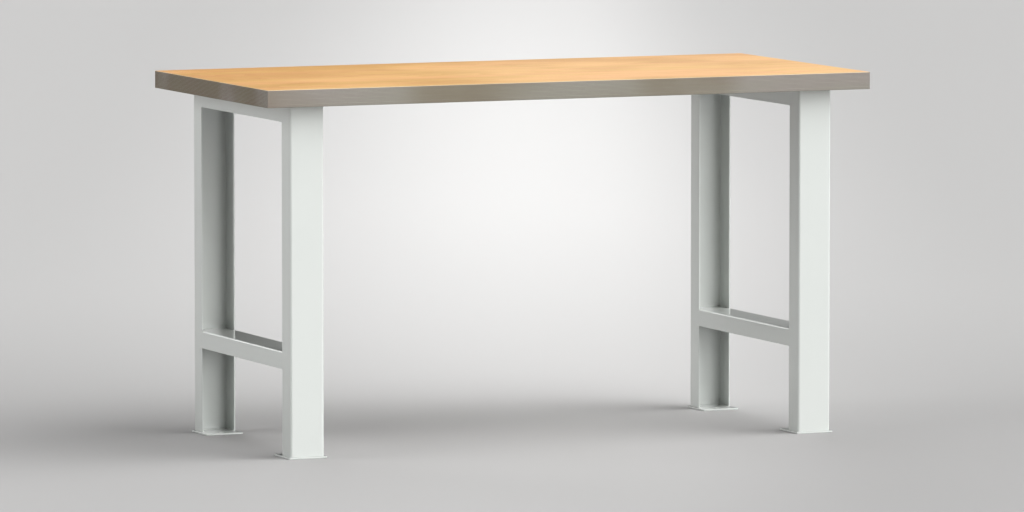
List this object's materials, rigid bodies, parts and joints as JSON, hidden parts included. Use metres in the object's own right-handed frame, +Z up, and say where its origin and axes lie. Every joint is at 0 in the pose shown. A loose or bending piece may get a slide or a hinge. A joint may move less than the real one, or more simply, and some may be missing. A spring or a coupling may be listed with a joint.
{
  "type": "workbench",
  "caption": "Workbench with a thick beech multiplex worktop on welded leg frames of folded steel channel, open at the front and back, with flat drilled foot plates.",
  "frame": {"origin": "on the floor, under the middle of the worktop", "axes": "+Z up, +X to the right along the bench, -Y towards the worker at the front"},
  "size_m": [1.5, 0.7, 0.84],
  "materials": {
    "beech_face": "clear oiled, sanded",
    "beech_long_grain": "cut veneer edges, clear oiled",
    "beech_cross_grain": "cut veneer edges, clear oiled",
    "powder_coat": "fine powder coat, satin",
    "zinc_plate": "bright zinc plated"
  },
  "bodies": {
    "root": {"top_face_ply": "beech_face", "long_grain_plies": "beech_long_grain", "cross_grain_plies": "beech_cross_grain", "bottom_face_ply": "beech_face", "left_front_post": "powder_coat", "left_rear_post": "powder_coat", "left_upper_rail": "powder_coat", "left_lower_rail": "powder_coat", "left_front_foot_plate": "powder_coat", "left_rear_foot_plate": "powder_coat", "left_frame_welds": "powder_coat", "left_worktop_screws": "zinc_plate", "left_screw_washers": "zinc_plate", "right_front_post": "powder_coat", "right_rear_post": "powder_coat", "right_upper_rail": "powder_coat", "right_lower_rail": "powder_coat", "right_front_foot_plate": "powder_coat", "right_rear_foot_plate": "powder_coat", "right_frame_welds": "powder_coat", "right_worktop_screws": "zinc_plate", "right_screw_washers": "zinc_plate"}
  },
  "joints": []
}
